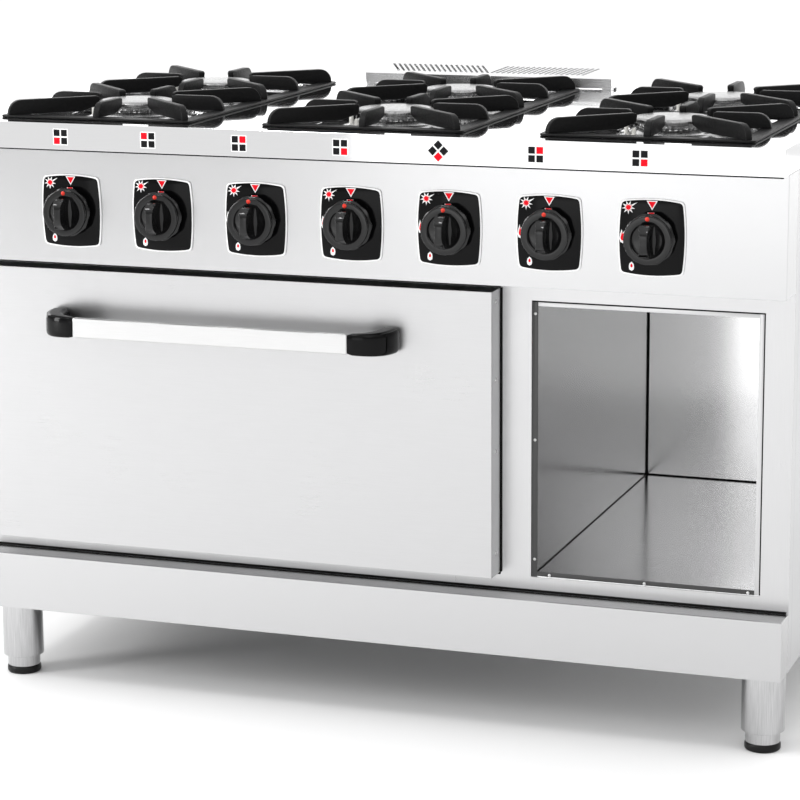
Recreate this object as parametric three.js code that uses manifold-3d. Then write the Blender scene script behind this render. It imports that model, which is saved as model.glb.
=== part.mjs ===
// Commercial gas range: six open burners with three cast grates, a drop-down oven door on
// the left and an open cabinet on the right. Millimetres, +Z up, the front faces -Y, and
// the origin is on the floor under the middle of the range.

import * as THREE from "three";
import { mergeVertices } from "three/addons/utils/BufferGeometryUtils.js";
import Module from "manifold-3d";

const wasm = await Module();
wasm.setup();

// Driving dimensions
const WIDTH = 1200;
const WORKTOP_Z = 840; // top face of the worktop
const SKIRT = 37; // height of the worktop's turned-down edge
const BASE_Z = 117; // underside of the chassis, on top of the legs
const SHEET = 2; // sheet thickness
const GAP = 0.3; // clearance between pieces that touch

// Depth stations, from the front backwards
const HANDLE_Y = -358;
const FASCIA_Y = -342; // front of the worktop's skirt
const PANEL_Y = -316; // front of the control panel
const PLINTH_Y = -300;
const DOOR_Y = -299;
const FACE_Y = -257; // front of the face frame
const SIDE_Y = -235; // front of the side panels, behind the frame's own returns
const BACK_Y = 358;

// Derived heights and half width
const HALF = WIDTH / 2;
const SKIRT_Z = WORKTOP_Z - SKIRT;
const BODY_TOP = SKIRT_Z - GAP;

// Burners and grates
const COLUMNS = { left: -392, centre: 6, right: 404 };
const ROWS = { front: -153, rear: 139 };
const CELL = 292; // width and depth of the grate over one burner
const GRATE_TOP = 863.5;
const WELL_Z = 826; // floor of the pressed wells

// Controls
const KNOB_COUNT = 7;
const KNOB_PITCH = 140;
const KNOB_Z = 714;
const PANEL_Z = 639; // lower edge of the control panel
const KNOB_FRONT = -366;

// Oven door and mouth
const DOOR = { x0: -594, x1: 194, z0: 225.6, z1: 626.7 };
const DOOR_BACK = -261;
const PIVOT = { y: -270, z: 233 };
const MOUTH = { x0: -520, x1: 120, z0: 262, z1: 580 };
const HINGE_X = { left: -550, right: 150 };

// Open cabinet
const CABINET = { x0: 238, x1: 560.5, z0: 221.8, z1: 610.5 };
const LINER_INSET = 8; // width of the liner's edge that shows inside the opening

const PLINTH_TOP = 200;
const LEG_X = 563.5;
const LEG_Y = { front: -234, rear: 300 };

const steel = (color, roughness) => new THREE.MeshStandardMaterial({ color, roughness, metalness: 1 });
const plain = (color, roughness) => new THREE.MeshStandardMaterial({ color, roughness, metalness: 0 });

const materials = {
  polished: steel(0xe2e3e4, 0.14),
  brushed: steel(0xd6d8da, 0.3),
  galvanised: steel(0xa9adb0, 0.5),
  castIron: plain(0x1b1b1c, 0.65),
  castAlloy: steel(0x8f9193, 0.45),
  brass: steel(0xb9913f, 0.35),
  aluminium: steel(0xe8e9ea, 0.25),
  enamel: plain(0x202225, 0.3),
  gloss: plain(0x0b0b0c, 0.12),
  rubber: plain(0x161616, 0.8),
};

const range = new THREE.Group();

// ---- geometry helpers ----

function toSolid(geometry) {
  const bare = geometry.clone();
  bare.deleteAttribute("normal");
  bare.deleteAttribute("uv");
  const merged = mergeVertices(bare, 1e-3);
  const mesh = new wasm.Mesh({
    numProp: 3,
    vertProperties: new Float32Array(merged.attributes.position.array),
    triVerts: new Uint32Array(merged.index.array),
  });
  return new wasm.Manifold(mesh);
}

function toGeometry(solid) {
  const mesh = solid.getMesh();
  const geometry = new THREE.BufferGeometry();
  geometry.setAttribute("position", new THREE.BufferAttribute(new Float32Array(mesh.vertProperties), 3));
  geometry.setIndex(new THREE.BufferAttribute(new Uint32Array(mesh.triVerts), 1));
  geometry.computeVertexNormals();
  return geometry;
}

function block(x0, x1, y0, y1, z0, z1) {
  const geometry = new THREE.BoxGeometry(x1 - x0, y1 - y0, z1 - z0);
  return toSolid(geometry.translate((x0 + x1) / 2, (y0 + y1) / 2, (z0 + z1) / 2));
}

// A cylinder along an axis, from a to b, at (u, v) on the two other axes in X, Y, Z order.
function rod(axis, radius, a, b, u, v, segments = 20) {
  const geometry = new THREE.CylinderGeometry(radius, radius, b - a, segments);
  const middle = (a + b) / 2;
  if (axis === "x") geometry.rotateZ(Math.PI / 2).translate(middle, u, v);
  if (axis === "y") geometry.translate(u, middle, v);
  if (axis === "z") geometry.rotateX(Math.PI / 2).translate(u, v, middle);
  return toSolid(geometry);
}

// A body of revolution about a vertical axis: points are [radius, z], bottom to top.
function turned(points, x, y, segments = 20) {
  const profile = points.map(([radius, z]) => new THREE.Vector2(radius, z));
  const geometry = new THREE.LatheGeometry(profile, segments);
  return toSolid(geometry.rotateX(Math.PI / 2).translate(x, y, 0));
}

// An outline in the XY plane, extruded upwards from z0 to z1.
function raised(shape, z0, z1, curveSegments = 4) {
  const options = { depth: z1 - z0, bevelEnabled: false, curveSegments };
  return toSolid(new THREE.ExtrudeGeometry(shape, options).translate(0, 0, z0));
}

// An outline in the YZ plane, extruded along X from x0 to x1.
function extrudedAlongX(points, x0, x1) {
  const shape = new THREE.Shape(points.map(([y, z]) => new THREE.Vector2(y, z)));
  const geometry = new THREE.ExtrudeGeometry(shape, { depth: x1 - x0, bevelEnabled: false });
  geometry.rotateX(Math.PI / 2).rotateZ(Math.PI / 2);
  return toSolid(geometry.translate(x0, 0, 0));
}

function roundedRectangle(x0, x1, y0, y1, radius) {
  const shape = new THREE.Shape();
  shape.moveTo(x0 + radius, y0);
  shape.lineTo(x1 - radius, y0);
  shape.absarc(x1 - radius, y0 + radius, radius, -Math.PI / 2, 0);
  shape.lineTo(x1, y1 - radius);
  shape.absarc(x1 - radius, y1 - radius, radius, 0, Math.PI / 2);
  shape.lineTo(x0 + radius, y1);
  shape.absarc(x0 + radius, y1 - radius, radius, Math.PI / 2, Math.PI);
  shape.lineTo(x0, y0 + radius);
  shape.absarc(x0 + radius, y0 + radius, radius, Math.PI, 1.5 * Math.PI);
  return shape;
}

const join = (...solids) => solids.reduce((whole, piece) => whole.add(piece));
const cut = (solid, ...tools) => tools.reduce((rest, tool) => rest.subtract(tool), solid);

function add(name, solid, material) {
  const mesh = new THREE.Mesh(toGeometry(solid), material);
  mesh.name = name;
  range.add(mesh);
}

// ---- worktop, grates and burners ----

const WELL = { halfWidth: 124, front: -277, rear: 263, radius: 36 };
const BURNER = { hole: 45, low: 804, cone: 80, ring: 46, capSeat: 848, cap: 54 };
const FLUE = { halfWidth: 199, front: 286, rear: 333, low: 858, high: 870, bottom: 843.3 };
const DUCT = { x0: -180, x1: 100, y0: 292, y1: 324 };

function well(x, offset, z0, z1) {
  const outline = roundedRectangle(
    x - WELL.halfWidth - offset, x + WELL.halfWidth + offset,
    WELL.front - offset, WELL.rear + offset, WELL.radius + offset,
  );
  return raised(outline, z0, z1);
}

function worktop() {
  const plateZ = WORKTOP_Z - SHEET;
  let top = cut(
    block(-HALF, HALF, FASCIA_Y, BACK_Y, SKIRT_Z, WORKTOP_Z),
    block(-HALF + SHEET, HALF - SHEET, FASCIA_Y + SHEET, BACK_Y - SHEET, SKIRT_Z - 1, plateZ),
  );
  const lip = block(-HALF + 1, HALF - 1, FASCIA_Y + 1, PANEL_Y + 20, SKIRT_Z, SKIRT_Z + SHEET);
  top = join(top, lip);
  for (const x of Object.values(COLUMNS)) {
    top = join(top, well(x, SHEET, WELL_Z - SHEET, plateZ + 0.5));
    top = cut(top, well(x, 0, WELL_Z, WORKTOP_Z + 1));
    for (const y of Object.values(ROWS)) {
      top = cut(top, rod("z", BURNER.hole, WELL_Z - 5, WELL_Z + 5, x, y, 16));
    }
  }
  return cut(top, block(DUCT.x0 + 4, DUCT.x1 - 4, DUCT.y0 + 4, DUCT.y1 - 4, plateZ - 1, WORKTOP_Z + 1));
}

const RIM = { width: 22, thickness: 3, radius: 12 };
const FIN = { thickness: 9, edge: 9, round: 19, inner: 57, innerZ: 850, foot: 85 };

// One fin stands on the rim and reaches in over the burner; its underside rises near its tip.
function fin(x, y, dx, dy) {
  const rimTop = WORKTOP_Z + GAP + RIM.thickness;
  const reach = Math.hypot(dx, dy);
  const shape = new THREE.Shape();
  shape.moveTo(reach, rimTop - 1);
  shape.lineTo(reach, rimTop);
  shape.absellipse(reach - FIN.round, rimTop, FIN.round, GRATE_TOP - rimTop, 0, Math.PI / 2);
  shape.lineTo(FIN.inner, GRATE_TOP);
  shape.lineTo(FIN.inner, FIN.innerZ);
  shape.lineTo(FIN.foot, rimTop - 1);
  const options = { depth: FIN.thickness, bevelEnabled: false, curveSegments: 3 };
  const geometry = new THREE.ExtrudeGeometry(shape, options).translate(0, 0, -FIN.thickness / 2);
  geometry.rotateX(Math.PI / 2).rotateZ(Math.atan2(dy, dx));
  return toSolid(geometry.translate(x, y, 0));
}

function grate(x) {
  const z0 = WORKTOP_Z + GAP;
  const z1 = z0 + RIM.thickness;
  const front = ROWS.front - CELL / 2;
  const rear = ROWS.rear + CELL / 2;
  const half = CELL / 2;
  const middle = (ROWS.front + ROWS.rear) / 2;
  const outer = roundedRectangle(x - half, x + half, front, rear, RIM.radius);
  const inner = roundedRectangle(
    x - half + RIM.width, x + half - RIM.width, front + RIM.width, rear - RIM.width, RIM.radius,
  );
  let body = cut(raised(outer, z0, z1), raised(inner, z0 - 1, z1 + 1));
  body = join(body, block(x - half + 5, x + half - 5, middle - RIM.width, middle + RIM.width, z0, z1));
  const reach = half - FIN.edge;
  for (const y of Object.values(ROWS)) {
    for (let i = -1; i <= 1; i += 1) {
      for (let j = -1; j <= 1; j += 1) {
        if (i !== 0 || j !== 0) body = join(body, fin(x, y, i * reach, j * reach));
      }
    }
  }
  return body;
}

// The cast body hangs through the well's hole by a wide cone that sheds spills, and the
// ring above the cone carries the gas ports.
function burnerBody(x, y) {
  const seat = WELL_Z + GAP;
  return turned([
    [0, BURNER.low], [42, BURNER.low], [42, seat], [BURNER.cone, seat], [BURNER.cone, seat + 2],
    [BURNER.ring + 6, BURNER.capSeat - 7], [BURNER.ring, BURNER.capSeat - 6], [BURNER.ring, BURNER.capSeat],
    [0, BURNER.capSeat],
  ], x, y);
}

function burnerCap(x, y) {
  const seat = BURNER.capSeat + GAP;
  const { cap } = BURNER;
  return turned([[0, seat], [cap, seat], [cap, seat + 5], [cap - 4, seat + 8], [0, seat + 8]], x, y);
}

add("worktop", worktop(), materials.polished);
for (const [column, x] of Object.entries(COLUMNS)) {
  add(`grate_${column}`, grate(x), materials.castIron);
  for (const [row, y] of Object.entries(ROWS)) {
    add(`burner_body_${column}_${row}`, burnerBody(x, y), materials.castAlloy);
    add(`burner_cap_${column}_${row}`, burnerCap(x, y), materials.brushed);
  }
}

// ---- flue cover ----

function flueCover() {
  const { halfWidth, front, rear, low, high, bottom } = FLUE;
  const t = 1.5;
  const wedge = [[front, bottom], [rear, bottom], [rear, high], [front, low]];
  const inside = { front: front + t, rear: rear - t };
  const hollow = [
    [inside.front, bottom - 1], [inside.rear, bottom - 1], [inside.rear, high - t], [inside.front, low - t],
  ];
  let cover = cut(
    extrudedAlongX(wedge, -halfWidth, halfWidth),
    extrudedAlongX(hollow, -halfWidth + t, halfWidth - t),
  );
  const slot = { width: 3.5, length: 36, pitch: 8.6, count: 18, first: 12, lean: 0.56 };
  for (const side of [-1, 1]) {
    for (let i = 0; i < slot.count; i += 1) {
      const geometry = new THREE.BoxGeometry(slot.width, slot.length, 20).rotateZ(-side * slot.lean);
      const x = side * (slot.first + i * slot.pitch);
      cover = cut(cover, toSolid(geometry.translate(x, (front + rear) / 2 + 5, (low + high) / 2)));
    }
  }
  const foot = 14;
  for (const side of [-1, 1]) {
    for (const y of [front + t / 2, rear - foot - t / 2]) {
      const x = side * (halfWidth - t / 2 - foot / 2);
      cover = join(cover, block(x - foot / 2, x + foot / 2, y, y + foot, WORKTOP_Z + GAP, bottom + 5));
    }
  }
  return cover;
}

add("flue_cover", flueCover(), materials.brushed);

// ---- control panel, knobs, taps and gas pipes ----

const knobX = (index) => (index - (KNOB_COUNT - 1) / 2) * KNOB_PITCH;
const KNOB = { radius: 35, skirtFront: -344, back: -326, barHalf: 7, barHeight: 21 };
const KNOB_TRAVEL = 4;
const SPINDLE = { radius: 5, back: -300, front: -336 };
const TAP = { radius: 14, front: -308, back: -268 };
const RAIL = { radius: 11, y: -280, z: 690, end: 560 };
const PIPE = 5;
const OVEN_PIPE = { x: 160, y: -238, z: 236 };

function controlPanel() {
  const back = FACE_Y - GAP;
  let panel = cut(
    block(-HALF, HALF, PANEL_Y, back, PANEL_Z, BODY_TOP),
    block(-HALF + SHEET, HALF - SHEET, PANEL_Y + SHEET, back + 1, PANEL_Z + SHEET, BODY_TOP - SHEET),
  );
  for (let i = 0; i < KNOB_COUNT; i += 1) {
    panel = cut(panel, rod("y", 9, PANEL_Y - 5, PANEL_Y + 5, knobX(i), KNOB_Z, 12));
  }
  return panel;
}

// A knob is a broad round skirt with a finger bar that stands well proud of it.
function knob(x) {
  const { radius, skirtFront, back, barHalf, barHeight } = KNOB;
  const skirt = rod("y", radius, skirtFront, back, x, KNOB_Z, 24);
  const bar = block(
    x - barHalf, x + barHalf, KNOB_FRONT, skirtFront + 1, KNOB_Z - barHeight, KNOB_Z + barHeight,
  );
  const bore = rod("y", SPINDLE.radius + 2 * GAP, SPINDLE.front - KNOB_TRAVEL - 1, back + 1, x, KNOB_Z, 8);
  return cut(join(skirt, bar), bore);
}

function spindle(x) {
  return rod("y", SPINDLE.radius, SPINDLE.front, SPINDLE.back, x, KNOB_Z, 8);
}

// The supply rail runs behind the panel. Each tap sits on it, and a pipe leads from each
// tap to the burner that it feeds.
function gasManifold() {
  const feeds = [
    ["left", "front"], ["left", "rear"], ["centre", "rear"], ["centre", "front"],
    null, ["right", "rear"], ["right", "front"],
  ];
  let manifold = join(
    rod("x", RAIL.radius, knobX(0) - 25, RAIL.end + RAIL.radius, RAIL.y, RAIL.z, 8),
    rod("y", RAIL.radius, RAIL.y - RAIL.radius, BACK_Y - 1, RAIL.end, RAIL.z, 8),
  );
  feeds.forEach((feed, index) => {
    const x = knobX(index);
    manifold = join(manifold, rod("y", TAP.radius, TAP.front, TAP.back, x, KNOB_Z, 10));
    manifold = join(manifold, rod("z", 8, RAIL.z, KNOB_Z, x, RAIL.y, 6));
    const socket = rod("y", SPINDLE.radius + 2 * GAP, TAP.front - 5, SPINDLE.back + GAP, x, KNOB_Z, 12);
    manifold = cut(manifold, socket);
    manifold = join(manifold, feed ? burnerPipe(x, COLUMNS[feed[0]], ROWS[feed[1]]) : ovenPipe(x));
  });
  return manifold;
}

function burnerPipe(tapX, x, y) {
  const low = Math.min(tapX, x) - PIPE;
  const high = Math.max(tapX, x) + PIPE;
  return join(
    rod("y", PIPE, TAP.back - 5, y + PIPE, tapX, KNOB_Z, 6),
    rod("x", PIPE, low, high, y, KNOB_Z, 6),
    rod("z", PIPE, KNOB_Z - PIPE, BURNER.low - GAP, x, y, 6),
  );
}

function ovenPipe(tapX) {
  return join(
    rod("y", PIPE, TAP.back - 5, OVEN_PIPE.y + PIPE, tapX, KNOB_Z, 6),
    rod("x", PIPE, tapX - PIPE, OVEN_PIPE.x + PIPE, OVEN_PIPE.y, KNOB_Z, 6),
    rod("z", PIPE, OVEN_PIPE.z - PIPE, KNOB_Z, OVEN_PIPE.x, OVEN_PIPE.y, 6),
    rod("x", PIPE, OVEN.x1 + 12 + GAP, OVEN_PIPE.x + PIPE, OVEN_PIPE.y, OVEN_PIPE.z, 6),
  );
}

// ---- oven ----

const OVEN = { x0: -530, x1: 130, y0: FACE_Y + SHEET + GAP, y1: 330, z0: 214, z1: 592 };
const RUNNER = 14;
const FLOOR_Z = 256;
const RACK_Z = 372;

// The liner is the cooking chamber. Runners inside it carry the floor plate and the rack,
// and a duct at its rear leads up to the flue cover.
function ovenLiner() {
  const { x0, x1, y0, y1, z0, z1 } = OVEN;
  const ductTop = WORKTOP_Z - SHEET - GAP;
  let liner = join(
    block(x0, x1, y0, y1, z0, z1),
    block(DUCT.x0, DUCT.x1, DUCT.y0, DUCT.y1, z1 - 1, ductTop),
  );
  liner = cut(
    liner,
    block(x0 + SHEET, x1 - SHEET, y0 - 1, y1 - SHEET, z0 + SHEET, z1 - SHEET),
    block(DUCT.x0 + SHEET, DUCT.x1 - SHEET, DUCT.y0 + SHEET, DUCT.y1 - SHEET, z1 - 5, ductTop + 1),
    rod("x", PIPE + 1, x1 - 5, x1 + 5, OVEN_PIPE.y, OVEN_PIPE.z, 16),
  );
  for (const z of [FLOOR_Z, RACK_Z, RACK_Z + 70, RACK_Z + 140]) {
    liner = join(
      liner,
      block(x0 + 1, x0 + RUNNER, y0 + 10, y1 - 10, z - 3, z),
      block(x1 - RUNNER, x1 - 1, y0 + 10, y1 - 10, z - 3, z),
    );
  }
  return liner;
}

function ovenFloor() {
  const z = FLOOR_Z + GAP;
  let plate = block(OVEN.x0 + SHEET + 2, OVEN.x1 - SHEET - 2, OVEN.y0 + 4, OVEN.y1 - SHEET - 4, z, z + 3);
  for (const x of [-430, -200, 30]) plate = cut(plate, block(x - 60, x + 60, 270, 290, z - 1, z + 4));
  return plate;
}

function ovenRack() {
  const x0 = OVEN.x0 + SHEET + 2;
  const x1 = OVEN.x1 - SHEET - 2;
  const y0 = OVEN.y0 + 14;
  const y1 = OVEN.y1 - 16;
  const z0 = RACK_Z + GAP;
  const rim = 8;
  const bars = 13;
  let rack = cut(
    block(x0, x1, y0, y1, z0, z0 + 6),
    block(x0 + rim, x1 - rim, y0 + rim, y1 - rim, z0 - 1, z0 + 7),
  );
  for (let i = 1; i <= bars; i += 1) {
    const x = x0 + ((x1 - x0) * i) / (bars + 1);
    rack = join(rack, block(x - 2.5, x + 2.5, y0 + 2, y1 - 2, z0 + 1, z0 + 5));
  }
  return rack;
}

// A U of tube under the floor plate; a thinner inlet passes through the liner's right wall.
function ovenBurner() {
  const r = 8;
  const left = OVEN.x0 + 90;
  const right = OVEN.x1 - 20;
  const rear = OVEN.y1 - 90;
  const { y, z } = OVEN_PIPE;
  return join(
    rod("x", r, left, right, y, z, 8),
    rod("x", PIPE, right - r, OVEN.x1 + 12, y, z, 8),
    rod("y", r, y, rear, left, z, 8),
    rod("x", r, left - r, right - 50, rear, z, 8),
  );
}

function hingeArm(x) {
  const half = 5;
  return join(
    block(x - half, x + half, PIVOT.y, FACE_Y - GAP, PIVOT.z - 5, PIVOT.z + 5),
    rod("x", 5, x - half, x + half, PIVOT.y, PIVOT.z, 12),
    rod("x", 3.5, x - 16, x + 16, PIVOT.y, PIVOT.z, 12),
  );
}

const hingeNotch = (x) => block(x - 7, x + 7, PIVOT.y - 7, DOOR_BACK + 1, DOOR.z0 - 2, PIVOT.z + 7);

function doorSkin() {
  const { x0, x1, z0, z1 } = DOOR;
  return cut(
    block(x0, x1, DOOR_Y, DOOR_BACK, z0, z1),
    block(x0 + SHEET, x1 - SHEET, DOOR_Y + SHEET, DOOR_BACK + 1, z0 + SHEET, z1 - SHEET),
    ...Object.values(HINGE_X).map(hingeNotch),
  );
}

// The inner panel closes the door's back, with a raised field that enters the mouth.
function doorInner() {
  const inset = SHEET + GAP;
  const panel = block(
    DOOR.x0 + inset, DOOR.x1 - inset, DOOR_BACK - SHEET, DOOR_BACK, DOOR.z0 + inset, DOOR.z1 - inset,
  );
  const field = (shrink, y0, y1) => block(
    MOUTH.x0 + 16 + shrink, MOUTH.x1 - 16 - shrink, y0, y1, MOUTH.z0 + 18 + shrink, MOUTH.z1 - 14 - shrink,
  );
  return cut(
    join(panel, field(0, DOOR_BACK - 1, FACE_Y + 3)),
    field(SHEET, DOOR_BACK - SHEET - 1, FACE_Y + 3 - SHEET),
    ...Object.values(HINGE_X).map(hingeNotch),
  );
}

function doorSeal() {
  const width = 10;
  const [x0, x1, z0, z1] = [MOUTH.x0 - 18, MOUTH.x1 + 18, MOUTH.z0 - 16, MOUTH.z1 + 16];
  return cut(
    block(x0, x1, DOOR_BACK + GAP, FACE_Y - GAP, z0, z1),
    block(x0 + width, x1 - width, DOOR_BACK, FACE_Y, z0 + width, z1 - width),
  );
}

const BAR = { half: 206, z0: 540, z1: 568, front: HANDLE_Y + 1, back: HANDLE_Y + 11 };
const DOOR_MIDDLE = (DOOR.x0 + DOOR.x1) / 2;

function handleBar() {
  const { half, z0, z1, front, back } = BAR;
  return block(DOOR_MIDDLE - half, DOOR_MIDDLE + half, front, back, z0, z1);
}

// Each bracket sweeps from the end of the bar outwards and back to the door.
function handleBracket(side) {
  const start = BAR.half + GAP;
  const foot = DOOR_Y - GAP;
  const at = (along, y) => [DOOR_MIDDLE + side * (start + along), y];
  const shape = new THREE.Shape();
  shape.moveTo(...at(0, HANDLE_Y));
  shape.lineTo(...at(22, HANDLE_Y));
  shape.bezierCurveTo(...at(46, HANDLE_Y), ...at(56, foot - 36), ...at(57, foot));
  shape.lineTo(...at(30, foot));
  shape.bezierCurveTo(...at(29, foot - 24), ...at(24, HANDLE_Y + 15), ...at(0, HANDLE_Y + 14));
  return raised(shape, BAR.z0 - 1, BAR.z1 + 1, 7);
}

add("oven_liner", ovenLiner(), materials.enamel);
add("oven_floor_plate", ovenFloor(), materials.enamel);
add("oven_rack", ovenRack(), materials.brushed);
add("oven_burner", ovenBurner(), materials.galvanised);
for (const [side, x] of Object.entries(HINGE_X)) {
  add(`door_hinge_${side}`, hingeArm(x), materials.galvanised);
}
add("door_outer_skin", doorSkin(), materials.polished);
add("door_inner_panel", doorInner(), materials.brushed);
add("door_seal", doorSeal(), materials.rubber);
add("handle_bar", handleBar(), materials.aluminium);
add("handle_bracket_left", handleBracket(-1), materials.gloss);
add("handle_bracket_right", handleBracket(1), materials.gloss);

add("control_panel", controlPanel(), materials.polished);
add("gas_manifold", gasManifold(), materials.brass);
for (let i = 0; i < KNOB_COUNT; i += 1) {
  add(`tap_spindle_${i + 1}`, spindle(knobX(i)), materials.brass);
  add(`knob_${i + 1}`, knob(knobX(i)), materials.gloss);
}

// ---- body ----

// The face frame carries the oven mouth, the cabinet opening and the service opening
// behind the control panel; its sides turn back to meet the side panels.
function frontFrame() {
  const depth = SIDE_Y - GAP;
  return cut(
    block(-HALF, HALF, FACE_Y, depth, BASE_Z, BODY_TOP),
    block(-HALF + SHEET, HALF - SHEET, FACE_Y + SHEET, depth + 1, BASE_Z - 1, BODY_TOP + 1),
    block(MOUTH.x0, MOUTH.x1, FACE_Y - 1, FACE_Y + 5, MOUTH.z0, MOUTH.z1),
    block(CABINET.x0, CABINET.x1, FACE_Y - 1, FACE_Y + 5, CABINET.z0, CABINET.z1),
    block(-HALF + 40, HALF - 25, FACE_Y - 1, FACE_Y + 5, PANEL_Z + 25, BODY_TOP - 15),
  );
}

// A sheet with its front and rear edges folded inwards.
function sidePanel(side) {
  const back = BACK_Y - SHEET - GAP;
  const outline = [
    [HALF, SIDE_Y], [HALF, back], [HALF - 16, back], [HALF - 16, back - SHEET],
    [HALF - SHEET, back - SHEET], [HALF - SHEET, SIDE_Y + SHEET],
    [HALF - 16, SIDE_Y + SHEET], [HALF - 16, SIDE_Y],
  ];
  const points = outline.map(([x, y]) => new THREE.Vector2(side * x, y));
  return raised(new THREE.Shape(points), BASE_Z, BODY_TOP);
}

function backPanel() {
  let panel = block(-HALF, HALF, BACK_Y - SHEET, BACK_Y, BASE_Z, BODY_TOP);
  panel = cut(panel, rod("y", RAIL.radius + 5, BACK_Y - 5, BACK_Y + 5, RAIL.end, RAIL.z, 20));
  for (const x of [-330, 0, 330]) {
    for (let i = 0; i < 4; i += 1) {
      const z = 630 + i * 28;
      panel = cut(panel, block(x - 90, x + 90, BACK_Y - 5, BACK_Y + 5, z, z + 8));
    }
  }
  return panel;
}

// A ring of channel joins the panels at the bottom, with a plate in each corner for a leg.
function baseFrame() {
  const x1 = HALF - SHEET - GAP;
  const y0 = FACE_Y + SHEET + GAP;
  const y1 = BACK_Y - 2 * SHEET - 2 * GAP;
  const channel = 20;
  const ring = cut(
    block(-x1, x1, y0, y1, BASE_Z, BASE_Z + 25),
    block(-x1 + channel, x1 - channel, y0 + channel, y1 - channel, BASE_Z - 1, BASE_Z + 26),
    ...sideFlangeNotches(x1),
  );
  const plates = [];
  for (const side of [-1, 1]) {
    for (const y of Object.values(LEG_Y)) {
      const a = side * (x1 - 3);
      const b = side * (LEG_X - 50);
      const front = y < 0 ? y0 + 4 : y - 45;
      plates.push(block(Math.min(a, b), Math.max(a, b), front, y + 45, BASE_Z, BASE_Z + 4));
    }
  }
  return join(ring, ...plates).subtract(join(...sideFlangeNotches(x1)));
}

// Room for the side panels' inward flanges.
function sideFlangeNotches(x1) {
  const reach = HALF - 16 - GAP;
  const rear = BACK_Y - 2 * SHEET - GAP;
  const notches = [];
  for (const side of [-1, 1]) {
    for (const [y0, y1] of [[SIDE_Y - GAP, SIDE_Y + SHEET + GAP], [rear - GAP, rear + SHEET + 1]]) {
      const a = side * reach;
      const b = side * (x1 + 1);
      notches.push(block(Math.min(a, b), Math.max(a, b), y0, y1, BASE_Z - 1, BASE_Z + 30));
    }
  }
  return notches;
}

function plinth() {
  const back = FACE_Y - GAP;
  return cut(
    block(-HALF, HALF, PLINTH_Y, back, BASE_Z, PLINTH_TOP),
    block(-HALF + SHEET, HALF - SHEET, PLINTH_Y + SHEET, back + 1, BASE_Z + SHEET, PLINTH_TOP - SHEET),
  );
}

function cabinetLiner() {
  const x0 = CABINET.x0 + LINER_INSET;
  const x1 = CABINET.x1 - LINER_INSET;
  const z0 = CABINET.z0 + LINER_INSET - 1;
  const z1 = CABINET.z1 - LINER_INSET + 1;
  const front = FACE_Y + SHEET + GAP;
  const back = 346;
  const flange = 20;
  const shell = join(
    block(x0 - SHEET, x1 + SHEET, front, back + SHEET, z0 - SHEET, z1 + SHEET),
    block(x0 - flange, x1 + flange, front, front + SHEET, z0 - flange, z1 + flange),
  );
  return cut(shell, block(x0, x1, front - 1, back, z0, z1));
}

const LEG = { radius: 30, bore: 25, bottom: 28, top: BASE_Z - GAP };
const FOOT_TUBE = 24;

function legTube(x, y) {
  return cut(
    rod("z", LEG.radius, LEG.bottom, LEG.top, x, y, 20),
    rod("z", LEG.bore, LEG.bottom - 1, LEG.top - 5, x, y, 16),
  );
}

// A levelling foot: an inner tube that slides in the leg, on a round pad.
function foot(x, y) {
  return turned([[0, 0], [25, 0], [25, 11], [FOOT_TUBE, 11], [FOOT_TUBE, 100], [0, 100]], x, y, 16);
}

add("front_frame", frontFrame(), materials.brushed);
add("side_panel_left", sidePanel(-1), materials.brushed);
add("side_panel_right", sidePanel(1), materials.brushed);
add("back_panel", backPanel(), materials.galvanised);
add("base_frame", baseFrame(), materials.galvanised);
add("plinth", plinth(), materials.polished);
add("cabinet_liner", cabinetLiner(), materials.polished);
for (const [row, y] of Object.entries(LEG_Y)) {
  for (const [side, x] of [["left", -LEG_X], ["right", LEG_X]]) {
    add(`leg_tube_${row}_${side}`, legTube(x, y), materials.brushed);
    add(`foot_${row}_${side}`, foot(x, y), materials.rubber);
  }
}

export default range;
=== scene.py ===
# The looks of a commercial gas range: six open burners under three cast grates, an oven with
# a drop-down door, an open cabinet and seven controls. +Z is up and the front faces -Y.
# Blender works in metres; the shapes below are drawn in millimetres and scaled by MM.

import math

import bmesh
import bpy
from mathutils import Matrix, Vector


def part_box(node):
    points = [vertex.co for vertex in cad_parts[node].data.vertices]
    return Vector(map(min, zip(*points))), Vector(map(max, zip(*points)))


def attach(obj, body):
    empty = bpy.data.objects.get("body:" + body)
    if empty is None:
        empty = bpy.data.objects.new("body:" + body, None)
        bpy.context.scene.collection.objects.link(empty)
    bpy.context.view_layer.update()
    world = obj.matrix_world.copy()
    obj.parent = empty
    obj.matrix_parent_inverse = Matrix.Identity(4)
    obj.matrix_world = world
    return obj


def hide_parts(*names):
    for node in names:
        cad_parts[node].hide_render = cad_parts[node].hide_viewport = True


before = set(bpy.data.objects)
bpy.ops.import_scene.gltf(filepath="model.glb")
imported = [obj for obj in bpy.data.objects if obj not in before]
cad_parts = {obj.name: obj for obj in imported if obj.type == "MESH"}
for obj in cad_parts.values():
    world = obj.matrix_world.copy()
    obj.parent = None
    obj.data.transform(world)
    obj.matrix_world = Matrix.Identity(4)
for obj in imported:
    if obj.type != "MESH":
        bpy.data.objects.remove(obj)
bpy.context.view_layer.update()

MM = 0.001
SCALE = Matrix.Diagonal((MM, MM, MM, 1))
UP = Vector((0, 0, 1))
STAND_UP = Matrix.Rotation(math.pi / 2, 4, "X")  # turns a level drawing to face the front
COLUMNS = ("left", "centre", "right")
ROWS = ("front", "rear")
SIDES = ("left", "right")
KNOBS = range(1, 8)


def box(node):
    """A node's lowest and highest corners, in millimetres."""
    return [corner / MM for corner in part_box(node)]


def middle(node):
    """The centre of a node's box, in millimetres."""
    lo, hi = box(node)
    return (lo + hi) / 2


# ---- materials ----

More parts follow.
